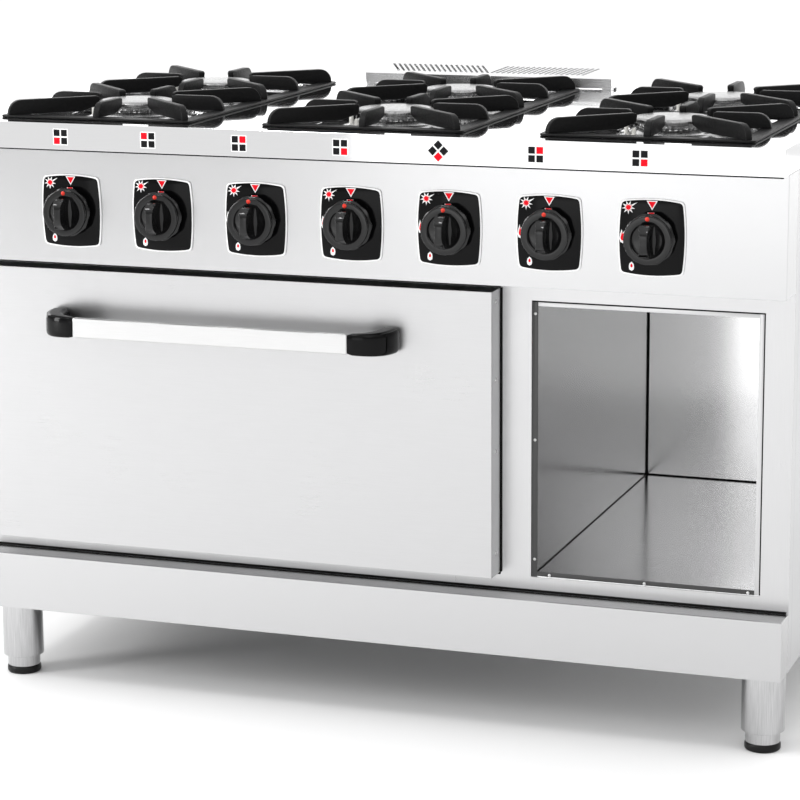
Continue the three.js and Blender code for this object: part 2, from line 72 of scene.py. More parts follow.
def new_material(name):
    material = bpy.data.materials.new(name)
    material.use_nodes = True
    tree = material.node_tree
    return material, tree, tree.nodes["Principled BSDF"]


def noise(tree, scale, stretch=(1, 1, 1), detail=3.0, roughness=0.5):
    """Noise in the part's own frame, from 0 to 1; stretch squeezes it along an axis."""
    place = tree.nodes.new("ShaderNodeTexCoord")
    mapping = tree.nodes.new("ShaderNodeMapping")
    mapping.inputs["Scale"].default_value = stretch
    texture = tree.nodes.new("ShaderNodeTexNoise")
    texture.inputs["Scale"].default_value = scale
    texture.inputs["Detail"].default_value = detail
    texture.inputs["Roughness"].default_value = roughness
    tree.links.new(place.outputs["Object"], mapping.inputs["Vector"])
    tree.links.new(mapping.outputs["Vector"], texture.inputs["Vector"])
    return texture.outputs["Fac"]


def spread(tree, value, low, high, start=0.3, end=0.7):
    """Maps a value that runs from start to end to the range from low to high."""
    node = tree.nodes.new("ShaderNodeMapRange")
    limits = {"From Min": start, "From Max": end, "To Min": low, "To Max": high}
    for socket, number in limits.items():
        node.inputs[socket].default_value = number
    tree.links.new(value, node.inputs["Value"])
    return node.outputs["Result"]


def blend_colors(tree, value, dark, light):
    """Goes from the dark colour to the light one where a noise value rises."""
    node = tree.nodes.new("ShaderNodeValToRGB")
    ramp = node.color_ramp
    ramp.elements[0].position, ramp.elements[1].position = 0.3, 0.7
    ramp.elements[0].color, ramp.elements[1].color = (*dark, 1), (*light, 1)
    tree.links.new(value, node.inputs["Fac"])
    return node.outputs["Color"]


def bump(tree, value, distance, strength=1.0, normal=None):
    """A surface raised by a noise value, by distance in metres, on top of another normal."""
    node = tree.nodes.new("ShaderNodeBump")
    node.inputs["Strength"].default_value = strength
    node.inputs["Distance"].default_value = distance
    tree.links.new(value, node.inputs["Height"])
    if normal:
        tree.links.new(normal, node.inputs["Normal"])
    return node.outputs["Normal"]


def shades(color, amount):
    """A darker and a lighter version of a colour."""
    factors = (1 - amount, 1 + amount)
    return [tuple(min(1, channel * factor) for channel in color) for factor in factors]


GRAIN_SCALE = 2600  # the noises' scales, in cells per metre
SMEAR_SCALE = 7
WAVE_SCALE = 2.2
PEEL_SCALE = 700
PATCH_SCALE = 40
PEEL_DEPTH = 0.00001  # metres


def steel(name, color, roughness, grain, grain_depth=0.000001, wave=0.0004, variation=0.02):
    """Rolled sheet: fine lines along one axis, faint smears, and a slightly uneven surface.
    The lines are grain_depth deep and the unevenness is wave deep, in metres."""
    material, tree, shader = new_material(name)
    lines = noise(tree, GRAIN_SCALE, grain, 2)
    smears = noise(tree, SMEAR_SCALE, detail=4)
    waves = noise(tree, WAVE_SCALE, detail=1)
    dark, light = shades(color, variation)
    tree.links.new(blend_colors(tree, lines, dark, light), shader.inputs["Base Color"])
    shader.inputs["Metallic"].default_value = 1
    smeared = spread(tree, smears, roughness * 0.94, roughness * 1.06)
    lined = spread(tree, lines, -roughness * 0.05, roughness * 0.05)
    total = tree.nodes.new("ShaderNodeMath")
    tree.links.new(smeared, total.inputs[0])
    tree.links.new(lined, total.inputs[1])
    tree.links.new(total.outputs["Value"], shader.inputs["Roughness"])
    uneven = bump(tree, waves, wave)
    tree.links.new(bump(tree, lines, grain_depth, 0.6, uneven), shader.inputs["Normal"])
    return material


def cast(name, color, roughness, grain_scale, depth, metallic, specular=0.5):
    """A cast or moulded surface: coarse and fine grain in colour, gloss and height."""
    material, tree, shader = new_material(name)
    coarse = noise(tree, grain_scale, detail=5, roughness=0.65)
    fine = noise(tree, grain_scale * 5, detail=2)
    dark, light = shades(color, 0.35)
    gloss = spread(tree, fine, roughness * 0.7, roughness * 1.3)
    tree.links.new(blend_colors(tree, coarse, dark, light), shader.inputs["Base Color"])
    tree.links.new(gloss, shader.inputs["Roughness"])
    shader.inputs["Metallic"].default_value = metallic
    shader.inputs["Specular IOR Level"].default_value = specular
    rough = bump(tree, coarse, depth)
    tree.links.new(bump(tree, fine, depth * 0.3, 0.7, rough), shader.inputs["Normal"])
    return material


def plastic(name, color, roughness, specular):
    """Smooth moulded or printed plastic with a faint orange peel."""
    material, tree, shader = new_material(name)
    peel = noise(tree, PEEL_SCALE, detail=2)
    patches = noise(tree, PATCH_SCALE)
    dark, light = shades(color, 0.08)
    gloss = spread(tree, patches, roughness * 0.85, roughness * 1.2)
    tree.links.new(blend_colors(tree, patches, dark, light), shader.inputs["Base Color"])
    tree.links.new(gloss, shader.inputs["Roughness"])
    shader.inputs["Specular IOR Level"].default_value = specular
    tree.links.new(bump(tree, peel, PEEL_DEPTH), shader.inputs["Normal"])
    return material


def paint_shade_on_sheet(material, edge, factor):
    """Paints shade: darkens the sheet whose surface lies at an x no greater than edge, in
    millimetres.
    """
    tree = material.node_tree
    shader = tree.nodes["Principled BSDF"]
    place = tree.nodes.new("ShaderNodeTexCoord")
    axes = tree.nodes.new("ShaderNodeSeparateXYZ")
    tree.links.new(place.outputs["Object"], axes.inputs["Vector"])
    amount = spread(tree, axes.outputs["X"], factor, 1, edge * MM, (edge + 0.5) * MM)
    scale = tree.nodes.new("ShaderNodeVectorMath")
    scale.operation = "SCALE"
    tree.links.new(shader.inputs["Base Color"].links[0].from_socket, scale.inputs[0])
    tree.links.new(amount, scale.inputs["Scale"])
    tree.links.new(scale.outputs["Vector"], shader.inputs["Base Color"])


ALONG_X = (0.01, 1, 1)  # stretches a sheet's grain along one axis
ALONG_Y = (1, 0.01, 1)
ALONG_Z = (1, 1, 0.01)

worktop_steel = steel("worktop_steel", (0.72, 0.72, 0.725), 0.05, ALONG_X, wave=0.0002)
polished_steel = steel("polished_steel", (0.55, 0.55, 0.555), 0.22, ALONG_X)
door_steel = steel("door_steel", (0.53, 0.53, 0.535), 0.3, ALONG_X)
brushed_steel = steel("brushed_steel", (0.57, 0.57, 0.575), 0.3, ALONG_Z)
flue_steel = steel("flue_steel", (0.88, 0.88, 0.885), 0.26, ALONG_X, wave=0.0003, variation=0.03)
liner_steel = steel("liner_steel", (0.96, 0.96, 0.965), 0.17, ALONG_Y)
# painted shade: a dark copy of the flange's steel, for the shaded left and bottom of the cabinet's
# opening
flange_painted_shade = steel("flange_painted_shade", (0.07, 0.07, 0.07), 0.3, ALONG_Z, wave=0.0001, variation=0.1)
leg_steel = steel("leg_steel", (0.5, 0.5, 0.505), 0.16, ALONG_Z, 0.00001, 0.0001, 0.2)
rack_steel = steel("rack_steel", (0.62, 0.62, 0.62), 0.2, ALONG_Y, 0.000005, 0.0001, 0.08)
aluminium = steel("aluminium", (0.62, 0.62, 0.62), 0.34, ALONG_X, 0.000002, 0.0001, 0.03)
galvanised = cast("galvanised", (0.42, 0.44, 0.46), 0.42, 60, 0.00005, 1.0)
brass = cast("brass", (0.6, 0.43, 0.18), 0.3, 90, 0.00005, 1.0)
cast_iron = cast("cast_iron", (0.004, 0.004, 0.0042), 0.42, 260, 0.0005, 0.0, 0.16)
burner_alloy = cast("burner_alloy", (0.6, 0.6, 0.6), 0.2, 120, 0.00004, 1.0)
cap_enamel = cast("cap_enamel", (0.3, 0.3, 0.3), 0.3, 160, 0.0001, 1.0)
oven_enamel = cast("oven_enamel", (0.03, 0.032, 0.036), 0.22, 50, 0.00006, 0.0, 0.5)
gloss_black = plastic("gloss_black", (0.0015, 0.0015, 0.0017), 0.1, 0.14)
knob_black = plastic("knob_black", (0.003, 0.003, 0.0032), 0.13, 0.4)
plate_black = plastic("plate_black", (0.002, 0.002, 0.0022), 0.12, 0.12)
print_white = plastic("print_white", (0.8, 0.8, 0.8), 0.35, 0.2)
print_red = plastic("print_red", (0.72, 0.002, 0.012), 0.35, 0.1)
print_dark = plastic("print_dark", (0.006, 0.006, 0.007), 0.35, 0.1)
dot_red = plastic("dot_red", (0.62, 0.03, 0.015), 0.2, 0.3)
# painted shade: the base frame under the range is made near black to stand for the shade beneath
# the range
underside_painted_shade = cast("underside_painted_shade", (0.008, 0.008, 0.008), 0.5, 60, 0.00005, 0.0, 0.1)
ceramic = plastic("ceramic", (0.75, 0.74, 0.7), 0.4, 0.3)
seal_rubber = cast("seal_rubber", (0.006, 0.006, 0.006), 0.6, 400, 0.00008, 0.0, 0.1)
foot_plastic = cast("foot_plastic", (0.006, 0.006, 0.006), 0.4, 500, 0.00005, 0.0, 0.2)


# ---- shapes ----

SHARP_ANGLE = math.radians(40)


def rounded(points, radius, steps=4, closed=False):
    """The same line of points with each corner rounded."""
    points = [Vector(p) for p in points]
    count = len(points)
    line = []
    for i, corner in enumerate(points):
        if not closed and i in (0, count - 1):
            line.append(corner)
            continue
        before, after = points[i - 1] - corner, points[(i + 1) % count] - corner
        cut = min(radius, before.length / 2.1, after.length / 2.1)
        a, b = corner + before.normalized() * cut, corner + after.normalized() * cut
        for step in range(steps + 1):
            t = step / steps
            line.append(a.lerp(corner, t).lerp(corner.lerp(b, t), t))
    return line


def rectangle(x0, x1, y0, y1, radius, steps=6):
    """A rectangle's outline with round corners."""
    return rounded([(x0, y0), (x1, y0), (x1, y1), (x0, y1)], radius, steps, True)


def facing_front(x, y, z):
    """A drawing frame on the range's front: x to the right, y up, z towards the viewer."""
    return Matrix.Translation(Vector((x, y, z)) * MM) @ STAND_UP @ SCALE


def upright(x=0, y=0, z=0):
    """A drawing frame that lies level, with z up."""
    return Matrix.Translation(Vector((x, y, z)) * MM) @ SCALE


def bands(count, size, loop=False):
    """The faces that join each of count rings of size points to the next ring."""
    faces = []
    for i in range(count if loop else count - 1):
        a, b = i * size, (i + 1) % count * size
        faces += [(a + j, a + (j + 1) % size, b + (j + 1) % size, b + j) for j in range(size)]
    return faces


class Form:
    """Gathers closed shapes into one piece. Each shape names one of the piece's materials."""

    def __init__(self, *materials):
        self.mesh = bmesh.new()
        self.materials = materials

    def add(self, points, faces, material, place):
        made = [self.mesh.verts.new(place @ Vector(p)) for p in points]
        slot = self.materials.index(material)
        for corners in faces:
            face = self.mesh.faces.new([made[i] for i in corners])
            face.material_index = slot
            face.smooth = True
        bmesh.ops.remove_doubles(self.mesh, verts=made, dist=1e-6)

    def skin(self, rings, material, place, loop=False):
        """Joins rings of equally many points; the ends are capped unless they form a loop."""
        size = len(rings[0])
        faces = bands(len(rings), size, loop)
        if not loop:
            last = (len(rings) - 1) * size
            faces += [tuple(range(size))[::-1], tuple(range(last, last + size))]
        self.add([point for ring in rings for point in ring], faces, material, place)

    def lathe(self, profile, material, place, segments=48, wave=None):
        """Turns a profile of (radius, height) about z; wave changes a radius with the angle."""
        rings = []
        for radius, height in profile:
            ring = []
            for i in range(segments):
                turn = 2 * math.pi * i / segments
                r = wave(radius, height, turn) if wave else radius
                ring.append((r * math.cos(turn), r * math.sin(turn), height))
            rings.append(ring)
        self.skin(rings, material, place)

    def slab(self, outlines, thickness, edge, material, place, steps=2):
        """A flat plate centred on z = 0 with rounded edges; the later outlines are holes."""
        curve = bpy.data.curves.new("slab", "CURVE")
        curve.dimensions, curve.fill_mode = "2D", "BOTH"
        curve.extrude = thickness / 2 - edge
        curve.bevel_depth, curve.bevel_resolution, curve.offset = edge, steps, -edge
        for outline in outlines:
            spline = curve.splines.new("POLY")
            spline.points.add(len(outline) - 1)
            for point, place_on in zip(spline.points, outline):
                point.co = (place_on[0], place_on[1], 0, 1)
            spline.use_cyclic_u = True
        holder = bpy.data.objects.new("slab", curve)
        flat = bpy.data.meshes.new_from_object(holder)
        faces = [tuple(face.vertices) for face in flat.polygons]
        self.add([v.co for v in flat.vertices], faces, material, place)
        bpy.data.objects.remove(holder)
        bpy.data.curves.remove(curve)
        bpy.data.meshes.remove(flat)

    def tube(self, path, radius, material, place, loop=False, sides=12):
        """A round wire along a path that lies in a level plane."""
        path = [Vector(p) for p in path]
        rings = []
        for i, point in enumerate(path):
            ahead = path[(i + 1) % len(path)] if loop or i < len(path) - 1 else point
            behind = path[i - 1] if loop or i > 0 else point
            along = (ahead - behind).normalized()
            across = along.cross(UP)
            turns = [2 * math.pi * j / sides for j in range(sides)]
            around = [across * math.cos(t) + UP * math.sin(t) for t in turns]
            rings.append([point + radius * offset for offset in around])
        self.skin(rings, material, place, loop)

    def piece(self, name, body, slot, *replaced):
        """Makes the object, which rides on a body and may stand for CAD nodes."""
        bmesh.ops.recalc_face_normals(self.mesh, faces=self.mesh.faces)
        mesh = bpy.data.meshes.new(name)
        self.mesh.to_mesh(mesh)
        self.mesh.free()
        for material in self.materials:
            mesh.materials.append(material)
        mesh.set_sharp_from_angle(angle=SHARP_ANGLE)
        made = bpy.data.objects.new(name, mesh)
        bpy.context.scene.collection.objects.link(made)
        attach(made, body)
        if replaced:
            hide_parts(*replaced)
        return made


# ---- grates and burners ----

RIM_THICKNESS = 3
RIM_WIDTH = 22
RIM_CORNER = 12
HOLE_CORNER = 16
FIN_THICKNESS = 9.5
FIN_EDGE = 9  # from the rim's edge to the fin's foot
FIN_ROUND = 19
FIN_INNER = 57  # from the burner's axis to the fin's inner end
FIN_FOOT = 85  # from the axis to where the underside meets the rim's level
FIN_SINK = 0.8  # how far the fin's foot reaches down into the rim
TIP_HEIGHT = 13.5


def fin_outline(reach, foot, top):
    """One fin in its own plane: x away from the burner, y up."""
    quarter = [math.pi / 2 * i / 6 for i in range(7)]
    outer = [
        (reach - FIN_ROUND * (1 - math.cos(a)), foot + (top - foot) * math.sin(a)) for a in quarter
    ]
    head = rounded([
        outer[-1], (FIN_INNER + 4, top), (FIN_INNER, top - 2),
        (FIN_INNER + 1.5, top - TIP_HEIGHT), (FIN_FOOT, foot - FIN_SINK),
    ], 2.2, 3)
    return outer[:-1] + head + [(reach, foot - FIN_SINK)]


def grate(column):
    """A flat rim round two holes, and eight fins over each hole's burner."""
    node = f"grate_{column}"
    lo, hi = box(node)
    x, bridge = (lo.x + hi.x) / 2, (lo.y + hi.y) / 2
    inner = (lo.x + RIM_WIDTH, hi.x - RIM_WIDTH)
    outlines = [
        rectangle(lo.x, hi.x, lo.y, hi.y, RIM_CORNER),
        rectangle(*inner, lo.y + RIM_WIDTH, bridge - RIM_WIDTH, HOLE_CORNER),
        rectangle(*inner, bridge + RIM_WIDTH, hi.y - RIM_WIDTH, HOLE_CORNER),
    ]
    form = Form(cast_iron)
    form.slab(outlines, RIM_THICKNESS, 1, cast_iron, upright(0, 0, lo.z + RIM_THICKNESS / 2))
    reach = (hi.x - lo.x) / 2 - FIN_EDGE
    for row in ROWS:
        y = middle(f"burner_cap_{column}_{row}").y
        for eighth in range(8):
            long = reach * (math.sqrt(2) if eighth % 2 else 1)
            turn = Matrix.Rotation(eighth * math.pi / 4, 4, "Z")
            outline = fin_outline(long, lo.z + RIM_THICKNESS, hi.z)
            place = upright(x, y) @ turn @ STAND_UP
            form.slab([outline], FIN_THICKNESS, 1.1, cast_iron, place)
    form.piece(f"{node}_casting", node, "cast_iron", node)


WELL_DEPTH = 13.7  # from the worktop's top down to the burners' seats
STEM = 42  # radius of the burner's stem, below its seat
CROWN = 46  # radius of the ring of ports
PORTS = 40
PORT_DEPTH = 3
PORT_TOP = 5.5  # height of the ports, down from the crown's top
IGNITER_REACH = 62  # from the burner's axis
IGNITERS = ((200, 16), (228, 12))  # the angle and height of the spark and of the probe


def burner_casting(node):
    """A cone that narrows to a crown with ports round its edge."""
    lo, hi = box(node)
    cone = (hi.x - lo.x) / 2
    seat = box("worktop")[1].z - WELL_DEPTH

    def ports(radius, height, turn):
        toothed = radius > CROWN - 1 and hi.z - PORT_TOP < height < hi.z
        gap = (turn * PORTS / (2 * math.pi)) % 1 > 0.6
        return radius - PORT_DEPTH if toothed and gap else radius

    profile = rounded([
        (0, lo.z), (STEM, lo.z), (STEM, seat), (cone, seat), (cone, seat + 2),
        (CROWN + 14, seat + 9), (CROWN + 5, hi.z - 7), (CROWN, hi.z - 6.5),
    ], 1.2, 3)
    crown = ((CROWN, hi.z - 5.4), (CROWN, hi.z - 0.6), (CROWN - 2, hi.z), (0, hi.z))
    profile += [Vector(p) for p in crown]
    at = middle(node)
    form = Form(burner_alloy)
    form.lathe(profile, burner_alloy, upright(at.x, at.y), PORTS * 5, ports)
    form.piece(f"{node}_casting", "chassis", "burner_alloy", node)


def burner_cap(node, x, y):
    lo, hi = box(node)
    radius = (hi.x - lo.x) / 2
    profile = rounded([
        (0, lo.z), (radius - 1, lo.z), (radius, lo.z + 1), (radius, hi.z - 3.4),
        (radius - 1.5, hi.z - 1.9), (radius - 6, hi.z - 0.8), (radius * 0.55, hi.z - 0.2),
        (0, hi.z),
    ], 1.2, 3)
    form = Form(cap_enamel)
    form.lathe(profile, cap_enamel, upright(x, y), 72)
    form.piece(f"{node}_dome", "chassis", "burner_cap", node)


def igniters(name, x, y):
    """Two ceramic stalks with a wire tip each, beside a burner's crown."""
    foot = box("worktop")[1].z - WELL_DEPTH + 3
    form = Form(ceramic, rack_steel)
    for turn, tall in IGNITERS:
        angle = math.radians(turn)
        across, back = IGNITER_REACH * math.cos(angle), IGNITER_REACH * math.sin(angle)
        place = upright(x + across, y + back, foot)
        stalk = [(0, 0), (4.5, 0), (4.5, 3), (3, 5), (3, tall), (1.6, tall + 2), (0, tall + 2)]
        form.lathe(rounded(stalk, 0.8, 2), ceramic, place, 20)
        pin = [(0, tall), (0.9, tall), (0.9, tall + 6), (0, tall + 6.6)]
        form.lathe(rounded(pin, 0.4, 2), rack_steel, place, 10)
    form.piece(name, "chassis", "burner_alloy")


def burner(column, row):
    casting = f"burner_body_{column}_{row}"
    at = middle(casting)
    burner_casting(casting)
    burner_cap(f"burner_cap_{column}_{row}", at.x, at.y)
    igniters(f"igniter_{column}_{row}", at.x, at.y)


# ---- controls ----

RING = 32.6  # outer radius of the knob's front ring
DISH = 23.6  # radius of the dish inside the ring
DISH_DEPTH = 3.6
BOWL = 1.3  # how far the dish's floor curves up towards its rim
LOBES = 10
LOBE_HEIGHT = 0.6
GRIP_PROUD = 22  # how far the finger bar stands in front of the ring
GRIP_HALF = 22  # half the bar's length
GRIP_WAIST = 5.6  # half its width in the middle
GRIP_FLARE = 2.4
GRIP_CORNER = 2
GRIP_FILLET = 8
GRIP_EDGE = 1.2
GRIP_LEVEL = 9  # the bar's top is level up to here, and slopes down beyond
GRIP_DROP = 9
GRIP_LIMIT = DISH - 0.8  # the bar's foot stays inside this circle
GRIP_STEPS = 18


def knob(number):
    """Drawn with z = 0 on the face of the front ring."""
    node = f"knob_{number}"
    lo, hi = box(node)
    at = middle(node)
    depth = hi.y - (lo.y + GRIP_PROUD)
    place = facing_front(at.x, lo.y + GRIP_PROUD, at.z)
    bowl = [((DISH - 3) * i / 8, BOWL * (i / 8) ** 2 - DISH_DEPTH) for i in range(9)]
    ring = [bowl[-2], bowl[-1], (DISH, 0), (RING, 0), (RING, -6), (RING - 3.5, -7.5)]
    neck = [(RING - 3.5, -8.5), (RING - 0.5, -9.5), (RING + 1.4, -10.5)]
    skirt = [(RING + 1.6, -11), (RING + 1.6, -14.5), (RING - 2, -depth), (0, -depth)]
    profile = bowl[:-1] + rounded(ring, 2, 6)[1:] + rounded(neck, 0.6, 2) + rounded(skirt, 1.4, 4)

    def lobed(radius, height, turn):
        flange = height < -10 and radius > RING - 4
        return radius + LOBE_HEIGHT * math.cos(LOBES * turn) if flange else radius

    form = Form(knob_black, dot_red)
    form.lathe(profile, knob_black, place, 144, lobed)
    grip(form, place)
    dot = [(0, -0.5), (3, -0.5), (3, 0.2), (2.4, 0.9), (1.1, 1.3), (0, 1.4)]
    form.lathe(dot, dot_red, place @ Matrix.Translation((0, (DISH + RING) / 2, 0)), 24)
    form.piece(f"{node}_moulding", node, "gloss_plastic", node)


def grip_side():
    """Half-widths along the bar, as pairs of half-width and y: an hourglass, round at its ends."""
    side = []
    for i in range(GRIP_STEPS + 1):
        y = GRIP_HALF * math.sin(math.pi * (i / GRIP_STEPS - 0.5))
        corner = max(0, abs(y) - (GRIP_HALF - GRIP_CORNER)) / GRIP_CORNER
        cut = GRIP_CORNER * (1 - math.sqrt(1 - corner**2))
        side.append((GRIP_WAIST + GRIP_FLARE * (y / GRIP_HALF) ** 2 - cut, y))
    return side


def grip_levels():
    """Heights up the bar, each with how far its outline is spread: a fillet, then an edge."""
    levels = []
    for i in range(7):
        a = math.pi / 2 * i / 6
        height = GRIP_FILLET * math.sin(a) ** 2 - DISH_DEPTH
        levels.append((height, GRIP_FILLET * (1 - math.sin(a)) ** 2))
    levels.append((GRIP_PROUD - 4, -0.4))
    for i in range(5):
        a = math.pi / 2 * i / 4
        height = GRIP_PROUD - GRIP_EDGE * (1 - math.sin(a))
        levels.append((height, -0.5 - GRIP_EDGE * (1 - math.cos(a))))
    return levels


def grip(form, place):
    """The finger bar: an hourglass in front view, swept out into the dish, with sloped ends."""
    base = -DISH_DEPTH
    rings = []
    for height, out in grip_levels():
        ring = []
        for sign in (1, -1):
            for wide, y in grip_side()[::sign]:
                point = Vector((sign * (wide + out), y * (1 + out / GRIP_HALF)))
                if point.length > GRIP_LIMIT:
                    point *= GRIP_LIMIT / point.length
                beyond = max(0, (abs(y) - GRIP_LEVEL) / (GRIP_HALF - GRIP_LEVEL))
                share = 1 - GRIP_DROP * beyond**2 / (GRIP_PROUD - base)
                ring.append((point.x, point.y, base + (height - base) * share))
        rings.append(ring)
    size = len(rings[0])
    faces = bands(len(rings), size)
    for first in (0, (len(rings) - 1) * size):
        end = first + size - 1
        faces += [(first + j, first + j + 1, end - 1 - j, end - j) for j in range(GRIP_STEPS)]
    form.add([p for ring in rings for p in ring], faces, knob_black, place)


PLATE_HALF = Vector((46, 52))  # half the plate's width and height
PLATE_BULGE = Vector((3.2, 3.6))
PLATE_CORNER = 8
PLATE_BORDER = 1.9
PRINT = 0.3  # thickness of a printed layer
PRINT_EDGE = 0.05


def barrel(inset):
    """The control plate's outline, with bulging sides and round corners."""
    corner = PLATE_HALF - Vector((inset, inset)) - PLATE_BULGE
    points = []
    for quarter, (sx, sy) in enumerate(((1, -1), (1, 1), (-1, 1), (-1, -1))):
        points.append((corner.x * sx, corner.y * sy))
        for i in range(1, 8):
            along = 1 - 2 * i / 8
            bulge = PLATE_BULGE * (1 - along**2)
            if quarter % 2 == 0:
                points.append((sx * (corner.x + bulge.x), sy * corner.y * along))
            else:
                points.append((sx * corner.x * along, sy * (corner.y + bulge.y)))
    return rounded(points, PLATE_CORNER - inset, 5, True)


def star(radius, spikes, waist, stretch):
    """A spark: its first spike leans right and is longer than the rest by the given stretch."""
    points = []
    for i in range(2 * spikes):
        turn = math.pi * i / spikes + math.radians(30)
        r = radius * (waist if i % 2 else 1) * (1 if i else stretch)
        points.append((r * math.cos(turn), r * math.sin(turn)))
    return points


# The marks' outlines, each about its own middle, except the triangle, which points at (0, 0).
FLAME = [
    (0, -9), (4.5, -5), (5, 0), (2, 4), (2.6, 9), (-1, 5), (-2.5, 10), (-4.5, 3), (-5.5, -3),
    (-4, -7),
]
DROP = [(0, 6), (3, 3), (3.6, -1), (3, -4.5), (0, -6.2), (-3, -4.5), (-3.6, -1), (-3, 3)]
TRIANGLE = [(-7.5, 12.5), (7.5, 12.5), (0, 0)]
DASH = [(-4.5, -1.7), (4.5, -1.7), (4.5, 1.7), (-4.5, 1.7)]


def shrunk(points, factor, shift=(0, 0)):
    """An outline scaled about its points' mean, then moved."""
    centre = sum((Vector(p) for p in points), Vector((0, 0))) / len(points)
    return [centre + (Vector(p) - centre) * factor + Vector(shift) for p in points]


# Each mark on a control plate: its white outline, its red one, and where it is from the
# knob's axis.
MARKS = [
    (star(9.2, 9, 0.44, 1.5), star(4.8, 9, 0.6, 1.3), (-32, 39.2)),
    (TRIANGLE, shrunk(TRIANGLE, 0.72), (0, 36.5)),
    (DASH, shrunk(DASH, 0.85, (0.4, 0.2)), (-1.5, 31.6)),
    (FLAME, shrunk(FLAME, 0.66), (-38.5, 0)),
    (DROP, shrunk(DROP, 0.42, (0, 1.2)), (-27, -38.6)),
]


def control_plate(number):
    """A black plate on a white one, whose edge shows as a border, with marks in two layers."""
    at = middle(f"knob_{number}")
    place = facing_front(at.x, box("control_panel")[0].y, at.z)
    white, black = 2.4, 2.6
    face = black + 0.1
    form = Form(print_white, plate_black, print_red)

    def lifted(height, across=(0, 0)):
        return place @ Matrix.Translation((*across, height))

    form.slab([barrel(0)], white, 0.7, print_white, lifted(white / 2), 3)
    form.slab([barrel(PLATE_BORDER)], black, 0.3, plate_black, lifted(black / 2 + 0.1))
    for outer, inner, across in MARKS:
        low, high = (lifted(face + rise - PRINT / 2, across) for rise in (0.12, 0.24))
        form.slab([outer], PRINT, PRINT_EDGE, print_white, low, 0)
        form.slab([inner], PRINT, PRINT_EDGE, print_red, high, 0)
    form.piece(f"control_plate_{number}", "chassis", "gloss_plastic")


# Which square of each mark is red, counted from the top left, row by row. The fifth mark
# stands on its corner.
RED_SQUARES = (2, 0, 1, 3, 3, 1, 3)
DIAMOND = 5
MARK_OFFSETS = (-2, -9, -13.5, -6, -7, -12, -11)  # from each knob's axis to its mark
MARK_HEIGHT = 18  # over the skirt's lower edge
SQUARE = 9.1
SQUARE_PITCH = 11.2
SQUARE_BORDER = 1.3


def burner_mark(number):
    """A small printed map of the burners on the worktop's skirt, one over each knob."""
    lo = box("worktop")[0]
    at = middle(f"knob_{number}")
    turn = Matrix.Rotation(math.radians(-45 if number == DIAMOND else 0), 4, "Z")
    x = at.x + MARK_OFFSETS[number - 1]
    place = facing_front(x, lo.y, lo.z + MARK_HEIGHT) @ turn
    half = SQUARE / 2
    edge = SQUARE_PITCH / 2 + half + SQUARE_BORDER
    form = Form(print_white, print_dark, print_red)
    ground = rectangle(-edge, edge, -edge, edge, 1, 3)
    form.slab([ground], PRINT, PRINT_EDGE, print_white, place, 0)
    above = place @ Matrix.Translation((0, 0, 0.12))
    for square in range(4):
        cx, cy = (square % 2 - 0.5) * SQUARE_PITCH, (0.5 - square // 2) * SQUARE_PITCH
        ink = print_red if square == RED_SQUARES[number - 1] else print_dark
        outline = rectangle(cx - half, cx + half, cy - half, cy + half, 0.5, 2)
        form.slab([outline], PRINT, PRINT_EDGE, ink, above, 0)
    form.piece(f"burner_mark_{number}", "chassis", "gloss_plastic")


# ---- handle, fastenings, rack, legs ----

BRACKET_STEPS = 26
BRACKET_SIDES = 56
BRACKET_HALF = 14.6  # half its height at the bar
BRACKET_GROWTH = 3.6  # how much more that is at the door
BRACKET_BASE = 27  # its width where it meets the door
BRACKET_THICKNESS = 14
SQUARENESS = 0.4  # a power below 1 squares a round section
RIB_DEPTH = 0.9


def bezier(points, t):
    while len(points) > 1:
        points = [a.lerp(b, t) for a, b in zip(points, points[1:])]
    return points[0]


def bracket_section(t):
    """The section at a share t of the way from the bar to the door, as pairs of across and
    up; across runs from -1 to 1. Shallow ribs run along its top, and the ends are eased."""
    ease = min(1, 0.9 + 0.1 * min(t, 1 - t) * 14)
    ribbed = max(0, min(1, (t - 0.4) * 5))
    tall = BRACKET_HALF + BRACKET_GROWTH * t
    section = []
    for j in range(BRACKET_SIDES):
        turn = 2 * math.pi * j / BRACKET_SIDES
        c, s = math.cos(turn), math.sin(turn)
        across = math.copysign(abs(c) ** SQUARENESS, c) * ease
        up = math.copysign(abs(s) ** SQUARENESS, s) * ease
        rib = 0.5 * (1 - math.cos(across * 4 * math.pi)) * ribbed * RIB_DEPTH
        section.append((across, up * tall - (rib if up > 0.9 * ease else 0)))
    return section


def handle_bracket(side):
    """A swept grip end: thin at the bar, taller and wider where it meets the door."""
    node = f"handle_bracket_{side}"
    lo, hi = box(node)
    sign = -1 if side == "left" else 1
    start = lo.x if sign > 0 else hi.x
    length, depth, mid_z = hi.x - lo.x, hi.y - lo.y, (lo.z + hi.z) / 2
    root = length - BRACKET_BASE
    outer = ((0, 0), (22, -0.5), (length - 4, 2), (length, depth - 30), (length, depth))
    inner = (
        (0, BRACKET_THICKNESS), (16, BRACKET_THICKNESS), (22, 18), (root, depth - 22),
        (root, depth),
    )
    rings = []
    for i in range(BRACKET_STEPS + 1):
        t = i / BRACKET_STEPS
        out, into = (bezier([Vector(p) for p in line], t) for line in (outer, inner))
        centre, reach = (out + into) / 2, (out - into) / 2
        ring = []
        for across, up in bracket_section(t):
            point = centre + reach * across
            ring.append((start + sign * point.x, lo.y + point.y, mid_z + up))
        rings.append(ring)
    form = Form(gloss_black)
    form.skin(rings, gloss_black, SCALE)
    form.piece(f"{node}_moulding", "oven_door", "gloss_plastic", node)


def dome(form, place, radius, height, material):
    """The head of a rivet or a screw, standing on z = 0."""
    profile = [(0, -0.6), (radius, -0.6), (radius, 0.1)]
    for i in range(1, 7):
        a = math.pi / 2 * i / 6
        profile.append((radius * math.cos(a), 0.1 + height * math.sin(a)))
    form.lathe(profile, material, place, 20)


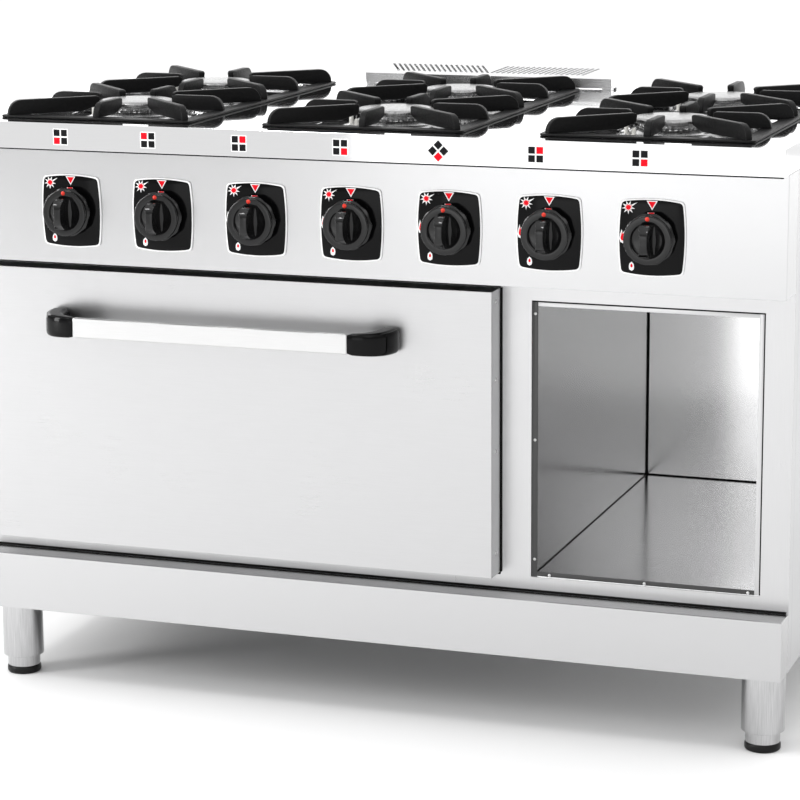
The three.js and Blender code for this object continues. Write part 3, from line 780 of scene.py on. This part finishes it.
FLANGE = 20  # of the cabinet's liner, which lies behind the face frame
SHEET = 2
TRIM = 7  # width of the flange that shows inside the frame's opening
LEFT_WALL_PAINTED_SHADE = 0.09  # painted shade: how bright the liner's left wall is painted beside its other walls


def cabinet_inside():
    """The lowest and highest corners of the space inside the cabinet's liner."""
    lo, hi = box("cabinet_liner")
    return lo + Vector((FLANGE, 0, FLANGE)), hi - Vector((FLANGE, SHEET, FLANGE))


def cabinet_seams():
    """Beads of dark sealant where the liner's sheets meet."""
    lo, hi = cabinet_inside()
    form = Form(seal_rubber)

    def bead(start, end, into_a, into_b, width):
        section = [(0, 0), (1, 0), (0.55, 0.25), (0.25, 0.55), (0, 1)]
        rings = [
            [Vector(at) + width * (u * Vector(into_a) + v * Vector(into_b)) for u, v in section]
            for at in (start, end)
        ]
        form.skin(rings, seal_rubber, SCALE)

    front = lo.y + 4
    for x, inward in ((lo.x, 1), (hi.x, -1)):
        bead((x, hi.y, lo.z), (x, hi.y, hi.z), (inward, 0, 0), (0, -1, 0), 2.6)
        bead((x, front, lo.z), (x, hi.y, lo.z), (inward, 0, 0), (0, 0, 1), 1.8)
    bead((lo.x, hi.y, lo.z), (hi.x, hi.y, lo.z), (0, -1, 0), (0, 0, 1), 2.2)
    form.piece("cabinet_seams", "chassis", "seal_rubber")


def painted_gap_shadows():
    """Painted shadow: thin strips of black rubber material that stand for the shade in the gaps
    round the door and under the worktop's skirt.
    """
    form = Form(seal_rubber)

    def strip(x0, x1, z0, z1, front, thickness):
        outline = rectangle(x0, x1, z0, z1, 0.4, 1)
        place = facing_front(0, front + thickness / 2, 0)
        form.slab([outline], thickness, 0.25, seal_rubber, place, 1)

    on_frame = (box("front_frame")[0].y - 1.4, 1.3)  # a strip's front face and thickness
    door_lo, door_hi = box("door_outer_skin")
    plinth_lo, plinth_hi = box("plinth")
    panel_foot = box("control_panel")[0].z
    strip(door_lo.x, door_hi.x, door_hi.z + 0.5, panel_foot + 12, *on_frame)
    strip(door_hi.x - 7, door_hi.x + 2.2, door_lo.z, door_hi.z, *on_frame)
    strip(door_lo.x, door_hi.x, door_lo.z - 4, door_lo.z + 2, *on_frame)
    strip(plinth_lo.x + 3, plinth_hi.x - 3, plinth_hi.z + 0.3, plinth_hi.z + 3.5, *on_frame)
    lo, hi = box("worktop")
    strip(lo.x + 2, hi.x - 2, lo.z - 1.7, lo.z - 0.1, lo.y + 0.3, 1.5)
    form.piece("gap_shadow_strips", "chassis", "seal_rubber")


def cabinet_trim():
    """The liner's flange where it shows in the opening: a strip painted dark as shade at the left
    and the bottom, and a bright one with a black outer edge painted as a shadow line at the right
    and the top. Rivets hold it."""
    lo, hi = cabinet_inside()
    foot = lo.z - 6
    face = lo.y - 0.4
    form = Form(flange_painted_shade, seal_rubber, aluminium, brushed_steel)

    def strip(x0, x1, z0, z1, material):
        outline = rectangle(x0, x1, z0, z1, 0.3, 1)
        form.slab([outline], 0.7, 0.2, material, facing_front(0, face, 0), 1)

    # painted shade: the flange's left and bottom strips are drawn in a dark copy of its steel
    strip(lo.x - TRIM, lo.x + 0.6, foot, hi.z + 6, flange_painted_shade)
    strip(lo.x + 0.6, hi.x, foot, lo.z + 0.4, flange_painted_shade)
    strip(hi.x - 0.4, hi.x + TRIM - 1, foot, hi.z + TRIM - 2, brushed_steel)
    strip(lo.x + 0.6, hi.x - 0.4, hi.z - 0.4, hi.z + TRIM - 2, brushed_steel)
    # painted shadow: black lines along the right and top edges of the opening
    strip(hi.x + TRIM - 1, hi.x + TRIM + 1, foot, hi.z + TRIM, seal_rubber)
    strip(lo.x - TRIM, hi.x + TRIM, hi.z + TRIM - 2, hi.z + TRIM, seal_rubber)
    left, bottom = lo.x - TRIM / 2, lo.z - 3.6
    at = (lo + hi) / 2
    rivets = [(left, z) for z in (lo.z + 18, at.z, hi.z - 11)]
    rivets += [(x, bottom) for x in (lo.x + 18, at.x, hi.x - 9)]
    for x, z in rivets:
        dome(form, facing_front(x, face, z), 2.3, 1.4, aluminium)
    form.piece("cabinet_trim", "chassis", "brushed_steel")


DOOR_SCREWS = (0.04, 0.31, 0.56, 0.92)  # shares of the door's height, from its top
DOOR_SCREW_SETBACK = 19


def door_screws():
    """Screws in the door's right and left returns, which hold its inner panel."""
    form = Form(rack_steel)
    lo, hi = box("door_outer_skin")
    for sign, x in ((1, hi.x), (-1, lo.x)):
        sideways = Matrix.Rotation(sign * math.pi / 2, 4, "Y")
        for share in DOOR_SCREWS:
            at = Vector((x, lo.y + DOOR_SCREW_SETBACK, hi.z - share * (hi.z - lo.z)))
            place = Matrix.Translation(at * MM) @ sideways @ SCALE
            dome(form, place, 3.2, 1.4, rack_steel)
    form.piece("door_screws", "oven_door", "galvanised_steel")


RACK_FRAME = 3  # radii of the rack's wires
RACK_WIRE = 2.2
RACK_WIRES = 21
RACK_BRACES = (0.33, 0.67)  # shares of the rack's depth


def oven_rack():
    """A wire frame with close wires from front to back, over two wires that brace them."""
    node = "oven_rack"
    lo, hi = box(node)
    z = lo.z + RACK_FRAME
    form = Form(rack_steel)
    corners = rectangle(
        lo.x + RACK_FRAME, hi.x - RACK_FRAME, lo.y + RACK_FRAME, hi.y - RACK_FRAME, 14,
    )
    form.tube([(p[0], p[1], z) for p in corners], RACK_FRAME, rack_steel, SCALE, True)
    for i in range(1, RACK_WIRES + 1):
        x = lo.x + (hi.x - lo.x) * i / (RACK_WIRES + 1)
        form.tube([(x, lo.y + 2, z + 1), (x, hi.y - 2, z + 1)], RACK_WIRE, rack_steel, SCALE)
    for share in RACK_BRACES:
        y = lo.y + (hi.y - lo.y) * share
        form.tube([(lo.x + 2, y, z - 1), (hi.x - 2, y, z - 1)], RACK_WIRE, rack_steel, SCALE)
    form.piece("oven_rack_wires", "chassis", "oven_rack_steel", node)


LEG_WALL = 5
PAD_HEIGHT = 11.5


def leg_tube(node):
    lo, hi = box(node)
    at, radius = middle(node), (hi.x - lo.x) / 2
    bore = radius - LEG_WALL
    profile = rounded([
        (0, hi.z - LEG_WALL), (bore, hi.z - LEG_WALL), (bore, lo.z), (radius, lo.z),
        (radius, hi.z), (0, hi.z),
    ], 1.2)
    form = Form(leg_steel)
    form.lathe(profile, leg_steel, upright(at.x, at.y), 64)
    form.piece(f"{node}_spun", "chassis", "brushed_steel", node)


def levelling_foot(node):
    """A black pad under the inner tube, which slides in the leg's outer tube."""
    lo, hi = box(node)
    at, pad = middle(node), (hi.x - lo.x) / 2
    inner, seat = pad - 1, PAD_HEIGHT - 0.1
    cushion = rounded([
        (0, 0), (pad - 2, 0), (pad, 2), (pad, 9), (pad - 1.5, PAD_HEIGHT), (0, PAD_HEIGHT),
    ], 1.5, 3)
    tube = rounded([(0, seat), (inner, seat), (inner, hi.z), (0, hi.z)], 0.8, 3)
    form = Form(foot_plastic, leg_steel)
    form.lathe(cushion, foot_plastic, upright(at.x, at.y, lo.z), 64)
    form.lathe(tube, leg_steel, upright(at.x, at.y), 64)
    form.piece(f"{node}_levelling", node, "foot_plastic", node)


# ---- the CAD nodes that stay in view ----

WELD_DISTANCE = 0.00001  # metres
FLAT_ANGLE = math.radians(1)
EDGE_ANGLE = math.radians(35)


def dress(node, material, edge):
    """Gives a CAD node its material and, where edge isn't 0, round edges."""
    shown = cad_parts[node]
    shown.data.materials.clear()
    shown.data.materials.append(material)
    if edge:
        weld = shown.modifiers.new("weld", "WELD")
        weld.merge_threshold = WELD_DISTANCE
        flat = shown.modifiers.new("flat", "DECIMATE")
        flat.decimate_type, flat.angle_limit = "DISSOLVE", FLAT_ANGLE
        bevel = shown.modifiers.new("edge", "BEVEL")
        bevel.width, bevel.segments = edge * MM, 2
        bevel.limit_method, bevel.angle_limit = "ANGLE", EDGE_ANGLE


# Each material's nodes, with the radius of their edges.
DRESSED = {
    worktop_steel: {"worktop": 0.9},
    polished_steel: {"control_panel": 0.9, "plinth": 0.9},
    door_steel: {"door_outer_skin": 0.9},
    brushed_steel: {
        "front_frame": 0.7, "side_panel_left": 0.8, "side_panel_right": 0.8,
        "door_inner_panel": 0.7,
    },
    flue_steel: {"flue_cover": 0.35},
    liner_steel: {"cabinet_liner": 0.5},
    galvanised: {
        "back_panel": 0.5, "oven_burner": 0, "door_hinge_left": 0.4, "door_hinge_right": 0.4,
    },
    underside_painted_shade: {"base_frame": 0.5},
    oven_enamel: {"oven_liner": 0.6, "oven_floor_plate": 0.6},
    seal_rubber: {"door_seal": 1.2},
    aluminium: {"handle_bar": 2},
    brass: {"gas_manifold": 0, **{f"tap_spindle_{number}": 0.4 for number in KNOBS}},
}

for material, nodes in DRESSED.items():
    for node, edge in nodes.items():
        dress(node, material, edge)

for column in COLUMNS:
    grate(column)
    for row in ROWS:
        burner(column, row)
for number in KNOBS:
    knob(number)
    control_plate(number)
    burner_mark(number)
for side in SIDES:
    handle_bracket(side)
    for row in ROWS:
        leg_tube(f"leg_tube_{row}_{side}")
        levelling_foot(f"foot_{row}_{side}")
cabinet_seams()
cabinet_trim()
# black strips painted as the shadow in the gaps round the door and under the skirt
painted_gap_shadows()
# the liner's left wall gets painted shade, darker than its other walls
paint_shade_on_sheet(liner_steel, cabinet_inside()[0].x, LEFT_WALL_PAINTED_SHADE)
door_screws()
oven_rack()


# ---- stage ----

def area_light(name, at, target, size, radiance):
    """A soft panel light; radiance is how bright the panel itself looks."""
    data = bpy.data.lights.new(name, "AREA")
    data.shape, data.size, data.size_y = "RECTANGLE", *size
    data.energy = radiance * math.pi * size[0] * size[1]
    light = bpy.data.objects.new(name, data)
    light.location = at
    light.rotation_mode = "QUATERNION"
    light.rotation_quaternion = (Vector(target) - Vector(at)).to_track_quat("-Z", "Y")
    bpy.context.scene.collection.objects.link(light)


FLOOR_REACH = 30


def floor():
    signs = ((-1, -1), (1, -1), (1, 1), (-1, 1))
    corners = [(x * FLOOR_REACH, y * FLOOR_REACH, 0) for x, y in signs]
    mesh = bpy.data.meshes.new("floor")
    mesh.from_pydata(corners, [], [(0, 1, 2, 3)])
    material, _, shader = new_material("floor")
    shader.inputs["Base Color"].default_value = (0.9, 0.9, 0.9, 1)
    shader.inputs["Roughness"].default_value = 0.9
    mesh.materials.append(material)
    made = bpy.data.objects.new("floor", mesh)
    bpy.context.scene.collection.objects.link(made)


def sky():
    """A white sky that is dimmer towards the horizon and below it."""
    world = bpy.data.worlds.new("studio")
    world.use_nodes = True
    tree = world.node_tree
    background = tree.nodes["Background"]
    background.inputs["Color"].default_value = (1, 1, 1, 1)
    direction = tree.nodes.new("ShaderNodeTexCoord")
    axes = tree.nodes.new("ShaderNodeSeparateXYZ")
    tree.links.new(direction.outputs["Generated"], axes.inputs["Vector"])
    strength = spread(tree, axes.outputs["Z"], 0.6, 1.3, 0.3, 0.6)
    tree.links.new(strength, background.inputs["Strength"])
    bpy.context.scene.world = world


def lights():
    centre = (0, 0, 0.5)
    area_light("key", (1.6, -4.2, 2.4), centre, (2.0, 1.5), 1.5)
    area_light("top", (-1.1, -1.7, 3.3), centre, (0.7, 0.5), 20)
    area_light("left_strip", (-3.4, -2.6, 1.3), centre, (1.0, 2.4), 12)
    area_light("front_glow", (-0.7, -5.4, 0.5), (0.6, 0, 0.5), (2.2, 1.6), 1.3)
    area_light("back_card", (-1.5, 5, 1.3), (0, 0, 0.8), (9, 2.5), 1.3)


CAMERA_AT = Vector((1.3264, -3.859, 1.2823))
CAMERA_YAW = math.radians(19.558)
CAMERA_PITCH = math.radians(12.143)
CAMERA_ROLL = math.radians(-0.377)
LENS = 126.4
SENSOR = 36


def camera():
    forward = Vector((
        -math.sin(CAMERA_YAW) * math.cos(CAMERA_PITCH),
        math.cos(CAMERA_YAW) * math.cos(CAMERA_PITCH),
        -math.sin(CAMERA_PITCH),
    ))
    level = Vector((math.cos(CAMERA_YAW), math.sin(CAMERA_YAW), 0))
    above = level.cross(forward)
    right = math.cos(CAMERA_ROLL) * level + math.sin(CAMERA_ROLL) * above
    up = math.cos(CAMERA_ROLL) * above - math.sin(CAMERA_ROLL) * level
    data = bpy.data.cameras.new("camera")
    data.lens, data.sensor_width = LENS, SENSOR
    made = bpy.data.objects.new("camera", data)
    facing = Matrix((right, up, -forward)).transposed().to_4x4()
    made.matrix_world = Matrix.Translation(CAMERA_AT) @ facing
    bpy.context.scene.collection.objects.link(made)
    bpy.context.scene.camera = made


floor()
sky()
lights()
camera()
bpy.context.scene.view_settings.view_transform = "Standard"
